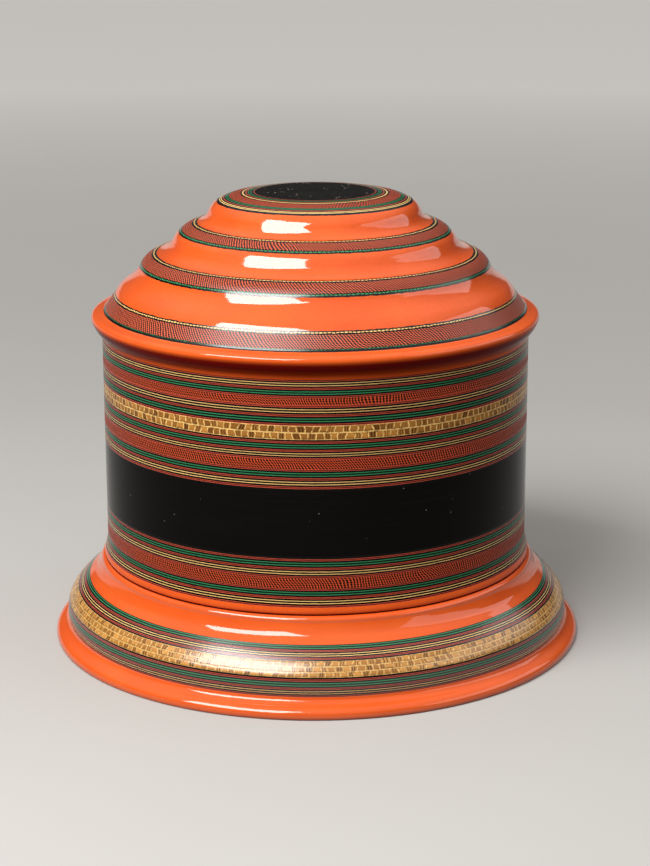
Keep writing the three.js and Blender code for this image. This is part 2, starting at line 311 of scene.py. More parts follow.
class Graph:
    """A node tree under construction, with short names for its nodes."""

    def __init__(self, owner):
        owner.use_nodes = True
        self.nodes = owner.node_tree.nodes
        self.links = owner.node_tree.links

    def feed(self, socket, value):
        """Links an output to a socket, or sets the socket to a plain value."""
        if isinstance(value, bpy.types.NodeSocket):
            self.links.new(value, socket)
        else:
            socket.default_value = value

    def add(self, kind, **inputs):
        node = self.nodes.new(kind)
        for name, value in inputs.items():
            self.feed(node.inputs[name], value)
        return node

    def math(self, operation, *values):
        node = self.nodes.new("ShaderNodeMath")
        node.operation = operation
        for socket, value in zip(node.inputs, values):
            self.feed(socket, value)
        return node.outputs[0]

    def sum(self, total, *values):
        for value in values:
            total = self.math("ADD", total, value)
        return total

    def times(self, product, *values):
        for value in values:
            product = self.math("MULTIPLY", product, value)
        return product

    def minus(self, first, second):
        return self.math("SUBTRACT", first, second)

    def off_centre(self, share):
        """How far a share from 0 to 1 lies from a half: 0 in the middle, 1 at both ends."""
        return self.math("ABSOLUTE", self.math("MULTIPLY_ADD", share, 2.0, -1.0))

    def mix(self, factor, first, second):
        node = self.nodes.new("ShaderNodeMix")
        node.data_type = "RGBA"
        self.feed(node.inputs[MIX_FACTOR], factor)
        self.feed(node.inputs[MIX_FIRST], first)
        self.feed(node.inputs[MIX_SECOND], second)
        return node.outputs[MIX_RESULT]

    def span(self, value, low, high, to_low=0.0, to_high=1.0, smooth=False):
        """A value between two limits as one between two others, held at their ends."""
        node = self.add("ShaderNodeMapRange", Value=value)
        if smooth:
            node.interpolation_type = "SMOOTHSTEP"
        for socket, number in zip(node.inputs[1:5], (low, high, to_low, to_high)):
            socket.default_value = number
        return node.outputs[0]

    def seen(self):
        """1 for rays that show the background: straight from the camera, reflected or let through."""
        ray = self.nodes.new("ShaderNodeLightPath").outputs
        return self.sum(ray["Is Camera Ray"], ray["Is Glossy Ray"], ray["Is Transmission Ray"])


class Finish(Graph):
    """A procedural material under construction, with coordinates round the axis."""

    def __init__(self, name):
        self.material = bpy.data.materials.new(name)
        super().__init__(self.material)
        self.shader = self.nodes["Principled BSDF"]
        self.place = self.nodes.new("ShaderNodeTexCoord").outputs["Object"]
        x, y, self.z = self.add("ShaderNodeSeparateXYZ", Vector=self.place).outputs
        self.radius = self.math("SQRT", self.math("MULTIPLY_ADD", y, y, self.times(x, x)))
        self.turn = self.math("DIVIDE", self.math("ARCTAN2", y, x), math.tau)

    def noise(self, size, detail=1.0, flat=1.0):
        """Noise from -1 to 1 with features of a size in millimetres. flat squeezes it along Z."""
        node = self.nodes.new("ShaderNodeVectorMath")
        node.operation = "MULTIPLY"
        self.feed(node.inputs[0], self.place)
        node.inputs[1].default_value = (1.0, 1.0, flat)
        place = node.outputs[0]
        texture = self.add("ShaderNodeTexNoise", Vector=place, Scale=1 / (size * MM), Detail=detail)
        return self.math("MULTIPLY_ADD", texture.outputs[0], 2.0, -1.0)

    def specks(self, spacing, core, edge, strength=1.0):
        """Scattered round specks, with their size in shares of the spacing in millimetres."""
        cells = self.add("ShaderNodeTexVoronoi", Vector=self.place, Scale=1 / (spacing * MM))
        return self.span(cells.outputs["Distance"], core, edge, strength, 0.0)

    def gloss(self, smooth, rough, size=9, detail=3.0, flat=3.0):
        """Roughness that drifts between two limits."""
        return self.span(self.noise(size, detail, flat), -0.6, 0.6, smooth, rough)

    def near(self, code, kind):
        return self.math("COMPARE", code, kind, CODE_TOLERANCE)

    def bands(self, place, edges):
        """Colour and code that change, without blending, at each (start, letter) of a rising list."""
        colour, code = None, None
        for chunk in groups(edges):
            low = chunk[0][0]
            high = chunk[-1][0] + 1.0
            ramp = self.add("ShaderNodeValToRGB", Fac=self.span(place, low, high))
            ramp.color_ramp.interpolation = "CONSTANT"
            stops = ramp.color_ramp.elements
            stops.remove(stops[1])
            for index, (start, letter) in enumerate(chunk):
                stop = stops[0] if index == 0 else stops.new((start - low) / (high - low))
                stop.color = (*KINDS[letter].colour[:3], KINDS[letter].code)
            if colour is None:
                colour, code = ramp.outputs
                continue
            beyond = self.math("GREATER_THAN", place, low)
            colour = self.mix(beyond, colour, ramp.outputs[0])
            step = self.minus(ramp.outputs[1], code)
            code = self.math("MULTIPLY_ADD", beyond, step, code)
        return colour, code

    def close(self, colour, roughness, height, shine):
        """Wires the shader. height is in micrometres."""
        self.feed(self.shader.inputs["Base Color"], colour)
        self.feed(self.shader.inputs["Roughness"], roughness)
        self.shader.inputs["Specular IOR Level"].default_value = shine
        bump = self.add("ShaderNodeBump", Strength=1.0, Distance=MICRON, Height=height)
        self.feed(self.shader.inputs["Normal"], bump.outputs[0])
        return self.material


def groups(edges):
    """Splits a list of edges after each wide band, so that one ramp holds the fine lines before it."""
    chunk, chunks = [], []
    for edge in edges:
        chunk.append(edge)
        if edge[1] in WIDE:
            chunks.append(chunk)
            chunk = []
    return chunks + [chunk] if chunk else chunks


def turned_waves(finish, marks=TURNING_MARKS):
    """Height of the slow waves and the turning marks that every lacquered surface keeps."""
    waves = finish.times(finish.noise(34), WAVE_HEIGHT)
    ridges = finish.times(finish.noise(40, detail=2.0, flat=14.0), marks)
    return finish.sum(waves, ridges)


def coral_shade(finish, colour):
    """Slow and fine unevenness in the tone of the lacquer."""
    slow = finish.span(finish.noise(26, detail=3.0, flat=2.0), -0.5, 0.6)
    return finish.mix(finish.times(slow, 0.5), colour, CORAL_DEEP)


def hatching(finish, along, columns, pitch):
    """How much of a point lies in an engraved dot. The dots stand in rows, each shifted against the next."""
    rows = finish.sum(finish.times(along, 1 / pitch), finish.times(finish.noise(9), ROW_WANDER))
    row = finish.math("FLOOR", rows)
    lean = finish.times(finish.noise(30, flat=3.0), 3.0)
    wander = finish.times(finish.noise(2.6), DOT_WANDER)
    phase = finish.sum(finish.times(finish.turn, columns), lean, wander, finish.times(row, ROW_SHIFT))
    across = finish.minus(finish.math("FRACT", phase), 0.5)
    upward = finish.minus(finish.minus(rows, row), 0.5)
    slant = finish.math("MULTIPLY_ADD", upward, DOT_SLANT, across)
    reach = finish.math("MULTIPLY_ADD", slant, slant, finish.times(upward, upward, DOT_FLATNESS))
    return finish.span(reach, DOT_CORE, DOT_EDGE, 1.0, 0.0)


def weaving(finish, along, weave):
    """Colour and height of a basket weave: staggered blocks, plain and of three upright strands by turns."""
    rows = finish.span(along, weave.low, weave.high, 0.0, weave.rows)
    rows = finish.sum(rows, finish.times(finish.noise(4.0), 0.10))
    row = finish.math("FLOOR", rows)
    sway = finish.times(finish.noise(7.0, flat=2.0), 0.45)
    columns = finish.sum(finish.times(finish.turn, weave.columns), finish.times(row, 0.5), sway)
    column = finish.math("FLOOR", columns)
    across = finish.minus(columns, column)
    upward = finish.minus(rows, row)
    upright = finish.math("FLOORED_MODULO", finish.sum(column, row), 2.0)
    cell = finish.add("ShaderNodeCombineXYZ", X=column, Y=row)
    dice = finish.add("ShaderNodeTexWhiteNoise", Vector=cell.outputs[0])
    chance = dice.outputs["Value"]
    tint = finish.add("ShaderNodeSeparateColor", Color=dice.outputs["Color"]).outputs[1]

    side, level = finish.off_centre(across), finish.off_centre(upward)
    strand = finish.off_centre(finish.math("FRACT", finish.times(across, STRANDS)))
    groove = finish.times(finish.span(strand, 0.35, 0.8), upright)
    # Painted shadow: plain blocks darken toward their lower edge, where the strand above would shade them
    painted_lap_shadow = finish.times(finish.span(upward, 0.10, 0.42, 1.0, 0.0), finish.minus(1.0, upright))
    corner = finish.times(finish.span(side, 0.5, 0.7), finish.span(level, 0.4, 0.6))
    rim = finish.math("MAXIMUM", finish.span(side, 0.80, 0.88), finish.span(level, 0.78, 0.86))
    patchy = finish.span(finish.noise(1.7), -0.4, 0.08, 0.3, 1.0)

    colour = finish.mix(chance, weave.deep, weave.bright)
    colour = finish.mix(finish.times(groove, finish.span(tint, 0.0, 1.0, 0.45, 1.0)), colour, GOLD_DARK)
    colour = finish.mix(finish.times(painted_lap_shadow, tint, 0.8), colour, GOLD_DARK)
    spots = finish.times(corner, finish.span(chance, 0.4, 0.7, 0.0, weave.spots))
    colour = finish.mix(spots, colour, GOLD_DARK)
    colour = finish.mix(finish.times(rim, patchy, weave.outline), colour, GOLD_BRIGHT)
    crowned = finish.span(level, 0.5, 1.0, BLOCK_HEIGHT, 0.0)
    return colour, finish.sum(crowned, finish.times(groove, -STRAND_DEPTH))


def painted(name, edges, axis="z", dots=DRUM_DOTS, pitch=DRUM_HATCH_PITCH, weave=None, beads=0,
            ragged=0.10, marks=TURNING_MARKS, pale=0.0, shine=0.5):
    """Lacquer with painted bands by height, radius or height less radius.

    dots is the number of engraved dots round a hatched band, and pitch the distance of their rows. beads is
    the number of dabs in a line that is dabbed, not drawn. ragged is the unsteadiness of the brush in
    millimetres, and pale is how far the hatched ground is lightened into a painted sheen.
    """
    finish = Finish(name)
    axes = {"z": finish.z, "radius": finish.radius, "slope": finish.minus(finish.z, finish.radius)}
    along = finish.times(axes[axis], 1 / MM)
    drift = finish.times(finish.noise(45), 0.16)
    shake = finish.times(finish.noise(2.4, flat=2.0), ragged)
    colour, code = finish.bands(finish.sum(along, drift, shake), edges)
    is_plain = finish.near(code, PLAIN)
    is_hatch = finish.near(code, HATCH)
    is_line = finish.near(code, LINE)

    colour = finish.mix(is_plain, colour, coral_shade(finish, colour))
    # Painted sheen: the hatched ground lightened toward a pale pink
    if pale:
        colour = finish.mix(finish.times(is_hatch, pale), colour, HATCH_PAINTED_SHEEN)
    dot = finish.times(hatching(finish, along, dots, pitch), is_hatch)
    colour = finish.mix(dot, colour, HATCH_DOT)
    worn = finish.span(finish.noise(3.2, detail=3.0, flat=3.0), 0.30, 0.55)
    colour = finish.mix(finish.times(worn, is_line, 0.6), colour, LINE_BLACK)
    if beads:
        beat = finish.math("SINE", finish.times(finish.turn, math.tau * beads))
        gap = finish.times(finish.span(beat, -0.9, -0.1, 0.85, 0.0), is_line)
        colour = finish.mix(gap, colour, LINE_BLACK)
    grain = finish.times(finish.noise(1.2, detail=0.0, flat=2.0), LINE_GRAIN, is_line)
    height = finish.sum(turned_waves(finish, marks), finish.times(dot, -DOT_DEPTH), grain)
    if weave:
        is_weave = finish.near(code, WEAVE)
        cloth, relief = weaving(finish, along, weave)
        colour = finish.mix(is_weave, colour, cloth)
        height = finish.sum(height, finish.times(is_weave, relief))
    brightness = finish.math("MULTIPLY_ADD", finish.noise(1.6, detail=2.0), 0.12, 1.0)
    uneven = finish.add("ShaderNodeHueSaturation", Color=colour, Value=brightness)

    roughness = finish.times(finish.noise(9, detail=3.0, flat=5.0), 0.03)
    roughness = finish.sum(roughness, LINE_ROUGHNESS)
    for kind, step in ROUGHNESS_STEPS.items():
        roughness = finish.math("MULTIPLY_ADD", finish.near(code, kind), step, roughness)
    return finish.close(uneven.outputs[0], roughness, height, shine)


def tier_paints(name, edges, dots, beads):
    """The shiny plain part of a tier, and its hatched band, which shines less."""
    # pale lightens the hatched ground of every tier, a painted sheen
    drawn = {"axis": "slope", "dots": dots, "pitch": DOME_HATCH_PITCH, "beads": beads,
             "ragged": 0.5, "marks": 50.0, "pale": 0.15}
    plain = painted(name + "_tier_lacquer", edges, shine=0.8, **drawn)
    return plain, painted(name + "_tier_band", edges, shine=0.45, **drawn)


def coral_lacquer():
    """Plain coral lacquer with a high gloss."""
    finish = Finish("coral_lacquer")
    return finish.close(coral_shade(finish, CORAL), finish.gloss(0.03, 0.08), turned_waves(finish), 0.65)


def painted_shade_lacquer():
    """Coral lacquer with painted shade, a dark red that stands for the shadow in the hollow under the eave.
    """
    finish = Finish("coral_with_painted_shade_lacquer")
    level = finish.times(finish.z, 1 / MM)
    sets_in = finish.span(level, *HOLLOW_IN)
    fades_out = finish.span(level, *HOLLOW_OUT, 1.0, 0.0)
    # Painted shade, darkest in the hollow under the eave
    hollow = finish.math("MINIMUM", sets_in, fades_out)
    colour = finish.mix(hollow, coral_shade(finish, CORAL), CORAL_PAINTED_SHADE)
    return finish.close(colour, finish.gloss(0.10, 0.18), turned_waves(finish), 0.02)


def black_lacquer(name, dusty, shine):
    """Black lacquer with rubbed patches and some dust."""
    finish = Finish(name)
    rubbed = finish.span(finish.noise(14, detail=4.0), 0.1, 0.7)
    colour = finish.mix(finish.times(rubbed, 0.35), BLACK, RUBBED_BLACK)
    patches = finish.span(finish.noise(8, detail=3.0), 0.0, 0.35)
    dust = finish.times(finish.specks(DUST_SPACING, 0.14, 0.26), patches)
    colour = finish.mix(finish.times(dust, dusty), colour, DUST)
    roughness = finish.gloss(0.12, 0.30, size=5, detail=4.0, flat=1.0)
    height = finish.sum(turned_waves(finish), finish.times(dust, DUST_HEIGHT * dusty))
    return finish.close(colour, roughness, height, shine)


def band_lacquer():
    """The wide black band of the drum, rubbed along the wall until it shows fine level hairlines."""
    finish = Finish("band_lacquer")
    hairs = finish.span(finish.noise(60, detail=5.0, flat=90.0), 0.1, 0.8)
    clouds = finish.span(finish.noise(38, detail=3.0), -0.4, 0.7)
    colour = finish.mix(finish.times(hairs, 0.5), BLACK, HAIRLINE)
    colour = finish.mix(finish.specks(SPARSE_DUST_SPACING, 0.03, 0.055, strength=0.5), colour, DUST)
    roughness = finish.sum(finish.times(clouds, 0.05), finish.times(hairs, 0.08), 0.11)
    height = finish.sum(turned_waves(finish, marks=4.0), finish.times(hairs, HAIRLINE_HEIGHT))
    return finish.close(colour, roughness, height, 0.05)


def inner_lacquer(name, deep, bright):
    """Brushed lacquer of the inside, with the low ridges of the wound bamboo under it."""
    finish = Finish(name)
    brush = finish.span(finish.noise(22, detail=4.0, flat=9.0), -0.55, 0.6)
    rings = finish.sum(finish.z, finish.radius)
    coil = finish.math("SINE", finish.times(rings, math.tau / (COIL_PITCH * MM)))
    wear = finish.span(finish.noise(7, detail=4.0), 0.35, 0.8)
    colour = finish.mix(finish.times(wear, 0.4), finish.mix(brush, deep, bright), LINE_BLACK)
    roughness = finish.gloss(0.24, 0.44, size=12, flat=4.0)
    ridges = finish.sum(finish.times(coil, COIL_HEIGHT), finish.times(brush, BRUSH_HEIGHT))
    return finish.close(colour, roughness, finish.sum(turned_waves(finish), ridges), 0.4)


def stacked(start, *bands):
    """Edges of bands that follow one another, each given by its letters and the place where it ends."""
    edges = []
    for letters, end in bands:
        whole = sum(KINDS[letter].width for letter in letters)
        place = start
        for letter in letters:
            edges.append((place, letter))
            place += (end - start) * KINDS[letter].width / whole
        start = end
    return edges


def drum_edges():
    """Bands of the cover's wall and hem, from the mouth up."""
    return stacked(
        44.4,
        ("C", 45.15), (GROUP, 53.95), ("H", 59.05), (GROUP, 68.2),
        ("B", 101.7), (GROUP, 110.9), ("H", 115.4), (GROUP + "K", DRUM_WEAVE.low),
        ("W", DRUM_WEAVE.high), (MIRRORED, 140.85), ("H", 144.25), (MIRRORED[:-1], WALL_SEAT.level),
    )


def moulding_edges():
    """Bands of the swelling ring of the base, from its foot up."""
    top_lines = "K" + GROUP.removesuffix("RrR")
    return stacked(8.85, (GROUP + "K", MOULDING_WEAVE.low), ("W", MOULDING_WEAVE.high), (top_lines, 30.45))


def tier_edges(green, yellow, line, edge):
    """A hatched band between a green and a yellow line, both with black edges, by height less radius.

    green and yellow are the middles of the lines, line is their width and edge that of their black edges.
    """
    half = line / 2
    foot, top = green - half - edge, yellow + half + edge
    bands = [("C", foot), ("K", green - half), ("G", green + half), ("K", green + half + edge / 2),
             ("H", yellow - half - edge), ("K", yellow - half), ("Y", yellow + half), ("K", top)]
    return stacked(foot - 1.0, *bands) + [(top, "C")]


def crown_edges():
    """Rings of the crown, from the disc out."""
    inner_rings = [(28.4, "K"), (29.5, "R"), (29.8, "K"), (31.0, "G"), (31.35, "K"), (32.2, "G"),
                   (32.55, "K"), (33.3, "R"), (33.8, "K"), (34.7, "Y"), (35.4, "K")]
    outer_rings = [(41.7, "K"), (42.2, "G"), (42.5, "K"), (43.1, "G"), (43.4, "K"), (44.2, "R"),
                   (44.6, "K"), (45.4, "Y"), (45.75, "K"), (46.2, "Y"), (46.55, "K")]
    return inner_rings + [(36.3, "H")] + outer_rings


def eave_edges():
    """The eave is plain but for the black edge of the line at the dome's foot."""
    return [(103.0, "K"), (103.95, "C")]


def spans(knots):
    """Points of a smooth curve through the knots, as one list for each span between two knots."""
    points = [Vector(knot) for knot in knots]
    chords = [(second - first).length for first, second in zip(points, points[1:])]
    slopes = [(second - first) / chord for first, second, chord in zip(points, points[1:], chords)]
    tangents = [slopes[0]]
    for index in range(1, len(points) - 1):
        before, after = chords[index - 1], chords[index]
        tangents.append((slopes[index] * before + slopes[index - 1] * after) / (before + after))
    tangents.append(slopes[-1])
    result = []
    for index, chord in enumerate(chords):
        steps = max(2, math.ceil(chord / CURVE_PITCH))
        span = []
        for step in range(steps + 1):
            share = step / steps
            square, cube = share * share, share ** 3
            point = points[index] * (2 * cube - 3 * square + 1)
            point += tangents[index] * chord * (cube - 2 * square + share)
            point += points[index + 1] * (3 * square - 2 * cube)
            point += tangents[index + 1] * chord * (cube - square)
            span.append((point.x, point.y))
        result.append(span)
    return result


def curve(knots, start=None, end=None):
    """The part of a smooth curve between two of its knots, or from its first or to its last."""
    first = knots.index(start) if start else 0
    last = knots.index(end) if end else len(knots)
    points = []
    for span in spans(knots)[first:last]:
        points += span
    return points


def straight(*points):
    """A polyline with rows close enough for the waves of the surface."""
    result = [points[0]]
    for start, end in zip(points, points[1:]):
        steps = max(1, math.ceil(math.dist(start, end) / STRAIGHT_PITCH))
        for step in range(1, steps + 1):
            share = step / steps
            result.append((start[0] + (end[0] - start[0]) * share, start[1] + (end[1] - start[1]) * share))
    return result


def arc(centre, radius, start, end, steps=6):
    """A rounded edge, with angles in degrees from the outward direction."""
    points = []
    for step in range(steps + 1):
        angle = math.radians(start + (end - start) * step / steps)
        points.append((centre[0] + radius * math.cos(angle), centre[1] + radius * math.sin(angle)))
    return points


def rounded_rim(edge, bore, level, radius):
    """The rounded top of a hoop above a level, from its outer side to its inner side."""
    return arc((edge - radius, level), radius, 0, 90) + arc((bore + radius, level), radius, 90, 180)


def section(runs):
    """Points of a section, the number of the material that leads to each point, and the materials."""
    points, paints, materials = [], [], []
    for material, run in runs:
        if material not in materials:
            materials.append(material)
        for point in run:
            if points and math.dist(points[-1], point) < SAME_POINT:
                continue
            points.append(point)
            paints.append(materials.index(material))
    if math.dist(points[0], points[-1]) < SAME_POINT:
        points.pop()
        paints[0] = paints.pop()
    return points, paints, materials


def wobble(angle, height):
    """How far a hand-made surface falls short of its true circle."""
    place = Vector((math.cos(angle) * WOBBLE_ROUND, math.sin(angle) * WOBBLE_ROUND, height / WOBBLE_ALONG))
    return WOBBLE_DEPTH * (0.5 + 0.5 * noise.noise(place))


def ringed(points):
    """Vertices of a turned section in metres, and the numbers of the vertices in the ring of each point."""
    vertices, rings = [], []
    for radius, height in points:
        if radius == 0:
            rings.append([len(vertices)] * SEGMENTS)
            vertices.append((0.0, 0.0, height * MM))
            continue
        ring = []
        for step in range(SEGMENTS):
            angle = math.tau * step / SEGMENTS
            reach = (radius - wobble(angle, height)) * MM
            ring.append(len(vertices))
            vertices.append((reach * math.cos(angle), reach * math.sin(angle), height * MM))
        rings.append(ring)
    return vertices, rings


def crease(mesh, points, rings):
    """Marks the rings at the corners of a section as sharp."""
    sharp = set()
    for index, here in enumerate(points):
        if here[0] == 0:
            continue
        before, after = points[index - 1], points[(index + 1) % len(points)]
        first = Vector((here[0] - before[0], here[1] - before[1]))
        second = Vector((after[0] - here[0], after[1] - here[1]))
        if first.angle(second) > SHARP_ANGLE:
            sharp.update(rings[index])
    for edge in mesh.edges:
        start, end = edge.vertices
        drop = mesh.vertices[start].co.z - mesh.vertices[end].co.z
        if start in sharp and end in sharp and abs(drop) < SAME_LEVEL:
            edge.use_edge_sharp = True


def turned(node, body, runs):
    """Turns a section, given as runs of (material, points) that go round it anticlockwise."""
    points, paints, materials = section(runs)
    vertices, rings = ringed(points)
    on_axis = points[0][0] == 0
    faces, face_paints = [], []
    for index in range(len(points) - 1 if on_axis else len(points)):
        following = (index + 1) % len(points)
        low, high = rings[index], rings[following]
        for step in range(SEGMENTS):
            after = (step + 1) % SEGMENTS
            corners = [low[step], low[after], high[after], high[step]]
            faces.append(list(dict.fromkeys(corners)))
            face_paints.append(paints[following])
    mesh = bpy.data.meshes.new(node + "_finished")
    mesh.from_pydata(vertices, [], faces)
    mesh.polygons.foreach_set("use_smooth", [True] * len(faces))
    mesh.polygons.foreach_set("material_index", face_paints)
    for material in materials:
        mesh.materials.append(material)
    crease(mesh, points, rings)
    mesh.update()
    piece = bpy.data.objects.new(node + "_finished", mesh)
    bpy.context.collection.objects.link(piece)
    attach(piece, body)
    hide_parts(node)


# Lacquers
coral = coral_lacquer()
coral_with_painted_shade = painted_shade_lacquer()
black = black_lacquer("black_lacquer", dusty=1.0, shine=0.02)
rim_black = black_lacquer("rim_lacquer", dusty=0.08, shine=0.25)
inner = inner_lacquer("inner_lacquer", INNER_DEEP, INNER_RED)
under = inner_lacquer("underside_lacquer", UNDER_DEEP, UNDER_RED)
drum_paint = painted("drum_bands", drum_edges(), weave=DRUM_WEAVE, marks=6.0, shine=0.10)
band_paint = band_lacquer()
moulding_paint = painted("moulding_bands", moulding_edges(), weave=MOULDING_WEAVE, marks=12.0, shine=0.8)
lower_edges = tier_edges(green=62.8, yellow=74.4, line=0.65, edge=0.95)
lower_paint, lower_band = tier_paints("lower", lower_edges, dots=422, beads=324)
middle_edges = tier_edges(green=102.1, yellow=113.6, line=0.7, edge=1.25)
middle_paint, middle_band = tier_paints("middle", middle_edges, dots=364, beads=261)
upper_edges = tier_edges(green=137.9, yellow=148.25, line=0.75, edge=1.35) + [(169.5, "K")]
upper_paint, upper_band = tier_paints("upper", upper_edges, dots=286, beads=195)
crown_paint = painted("crown_bands", crown_edges(), axis="radius", dots=165, pitch=DOME_HATCH_PITCH)
eave_paint = painted("eave_lacquer", eave_edges(), axis="radius", shine=0.6)

# Base, from the floor up
turned("foot_flange", "base", [
    (under, straight((FLANGE_SEAT.bore, 0.0), FLANGE_FOOT)),
    (coral, curve(FLANGE_RIM)),
    (under, straight(*FLANGE_SEAT.head(), (FLANGE_SEAT.bore, 0.0))),
])
turned("foot_moulding", "base", [
    (under, straight(*FLANGE_SEAT.foot())),
    (moulding_paint, curve(MOULDING)),
    (under, straight(*MOULDING_SEAT.head(), (MOULDING_SEAT.bore, MOULDING_SEAT.level - MOULDING_SHELL),
                     *FLANGE_SEAT.socket())),
])
box_socket = BOX_SEAT.edge + BOND
web_edge = MOULDING_SEAT.bore - BOND
moulding_socket = MOULDING_SEAT.collar + BOND
turned("foot_shoulder", "base", [
    (under, straight(*MOULDING_SEAT.foot())),
    (coral, curve(SHOULDER_RING)),
    (inner, straight(SHOULDER_LIP, COVER_SEAT, (box_socket, COVER_SEAT[1]), (box_socket, WEB_TOP),
                     (WEB_BORE, WEB_TOP))),
    (under, straight((WEB_BORE, WEB_TOP), (WEB_BORE, WEB_FOOT), (web_edge, WEB_FOOT),
                     (web_edge, MOULDING_SEAT.top + BOND), (moulding_socket, MOULDING_SEAT.top + BOND),
                     (moulding_socket, MOULDING_SEAT.level))),
])

# Inner box
turned("box_floor", "base", [
    (under, straight((0.0, WEB_TOP), (BOX_SEAT.bore, WEB_TOP), (BOX_SEAT.bore, BOX_FLOOR_TOP))),
    (inner, straight((BOX_SEAT.bore, BOX_FLOOR_TOP), (0.0, BOX_FLOOR_TOP))),
])
turned("box_wall", "base", [
    (inner, straight((BOX_SEAT.bore, WEB_TOP), (BOX_SEAT.edge, WEB_TOP), *BOX_SEAT.head(),
                     (BOX_SEAT.bore, WEB_TOP))),
])
turned("box_rim_hoop", "base", [
    (rim_black, straight(*BOX_SEAT.foot(), (BOX_SEAT.edge, BOX_ROUND_LEVEL))),
    (rim_black, rounded_rim(BOX_SEAT.edge, BOX_SEAT.bore, BOX_ROUND_LEVEL, BOX_ROUND)),
    (rim_black, straight((BOX_SEAT.bore, BOX_ROUND_LEVEL), *BOX_SEAT.socket())),
])
ledge_round = (LEDGE_BORE + LEDGE_ROUND, LEDGE_TOP - LEDGE_ROUND)
ledge_start = (LEDGE_BORE + LEDGE_BEVEL, LEDGE_FOOT)
turned("tray_ledge", "base", [
    (inner, straight(ledge_start, (BOX_SEAT.bore, LEDGE_FOOT), (BOX_SEAT.bore, LEDGE_TOP),
                     (ledge_round[0], LEDGE_TOP))),
    (inner, arc(ledge_round, LEDGE_ROUND, 90, 180)),
    (inner, straight((LEDGE_BORE, ledge_round[1]), (LEDGE_BORE, LEDGE_FOOT + LEDGE_BEVEL), ledge_start)),
])


def tray(body, bottom):
    """A shallow tray: wall with a lip, floor on the lip, rounded rim hoop."""
    lip, floor, seat = bottom + TRAY_LIP, bottom + TRAY_FLOOR, bottom + TRAY_WALL
    round_level = bottom + TRAY_HEIGHT - TRAY_ROUND
    turned(body + "_wall", body, [
        (under, straight((TRAY_LIP_BORE, bottom), (TRAY_EDGE, bottom))),
        (inner, straight((TRAY_EDGE, bottom), (TRAY_EDGE, seat), (TRAY_BORE, seat), (TRAY_BORE, lip),
                         (TRAY_LIP_BORE, lip), (TRAY_LIP_BORE, bottom))),
    ])
    turned(body + "_floor", body, [
        (under, straight((0.0, lip), (TRAY_BORE, lip), (TRAY_BORE, floor))),
        (inner, straight((TRAY_BORE, floor), (0.0, floor))),
    ])
    turned(body + "_rim_hoop", body, [
        (rim_black, straight((TRAY_BORE, seat), (TRAY_EDGE, seat), (TRAY_EDGE, round_level))),
        (rim_black, rounded_rim(TRAY_EDGE, TRAY_BORE, round_level, TRAY_ROUND)),
        (rim_black, straight((TRAY_BORE, round_level), (TRAY_BORE, seat))),
    ])


tray("lower_tray", LEDGE_TOP)
tray("upper_tray", LEDGE_TOP + TRAY_HEIGHT)

# Cover, from its mouth up
turned("cover_hem_hoop", "cover", [
    (inner, straight((DRUM_BORE, MOUTH), HEM_FOOT)),
    (drum_paint, curve(HEM)),
    (inner, straight(*HEM_SEAT.head(), (DRUM_BORE, MOUTH))),
])
turned("cover_wall", "cover", [
    (inner, straight(*HEM_SEAT.foot())),
    (drum_paint, straight(HEM_SEAT.rim, (DRUM_EDGE, BAND_LOW))),
    (band_paint, straight((DRUM_EDGE, BAND_LOW), (DRUM_EDGE, BAND_HIGH))),
    (drum_paint, straight((DRUM_EDGE, BAND_HIGH), WALL_SEAT.rim)),
    (inner, straight(*WALL_SEAT.head(), *HEM_SEAT.socket())),
])
turned("eave_flange", "cover", [
    (inner, straight(*WALL_SEAT.foot())),
    # The underside of the eave, with painted shade in its hollow
    (coral_with_painted_shade, curve(EAVE, end=EAVE_LIP)),
    (eave_paint, curve(EAVE, start=EAVE_LIP)),
    (inner, straight(*EAVE_SEAT.head(), (EAVE_SEAT.bore, EAVE_SHELL_HIGH), (DRUM_BORE, EAVE_SHELL_LOW),
                     *WALL_SEAT.socket())),
])
turned("lower_tier", "cover", [
    (inner, straight(*EAVE_SEAT.foot())),
    (lower_band, straight(EAVE_SEAT.rim, LOWER_BAND_TOP)),
    (lower_paint, curve(SHOULDER, end=LOWER_SEAT.rim)),
    (inner, straight(*LOWER_SEAT.head(), (LOWER_SEAT.bore, LOWER_SEAT.level - TIER_SHELL),
                     *EAVE_SEAT.socket())),
])
turned("middle_tier", "cover", [
    (inner, straight(*LOWER_SEAT.foot())),
    (middle_paint, curve(SHOULDER, LOWER_SEAT.rim, MIDDLE_BAND_FOOT)),
    (middle_band, curve(SHOULDER, start=MIDDLE_BAND_FOOT)),
    (middle_paint, curve(COVE, end=MIDDLE_SEAT.rim)),
    (inner, straight(*MIDDLE_SEAT.head(), (MIDDLE_SEAT.bore, MIDDLE_SEAT.level - TIER_SHELL),
                     *LOWER_SEAT.socket())),
])
crown_hole = CROWN_PLUG + BOND
turned("upper_tier", "cover", [
    (inner, straight(*MIDDLE_SEAT.foot())),
    (upper_paint, curve(COVE, MIDDLE_SEAT.rim, UPPER_BAND_FOOT)),
    (upper_band, curve(COVE, start=UPPER_BAND_FOOT)),
    (upper_paint, curve(CROWN, end=CROWN_SEAT)),
    (inner, straight(CROWN_SEAT, (crown_hole, CROWN_SEAT[1]), (crown_hole, CROWN_FOOT),
                     (UPPER_BORE, UPPER_SHELL_HIGH), (UPPER_BORE, UPPER_SHELL_LOW), *MIDDLE_SEAT.socket())),
])
turned("crown_ring", "cover", [
    (inner, straight((CROWN_BORE, CROWN_FOOT), (CROWN_PLUG, CROWN_FOOT), (CROWN_PLUG, CROWN_SEAT[1]),
                     CROWN_SEAT)),
    (crown_paint, curve(CROWN, start=CROWN_SEAT)),
    (inner, straight(CROWN_EDGE, (CROWN_EDGE[0], DISC_FOOT), (CROWN_BORE, DISC_FOOT),
                     (CROWN_BORE, CROWN_FOOT))),
])
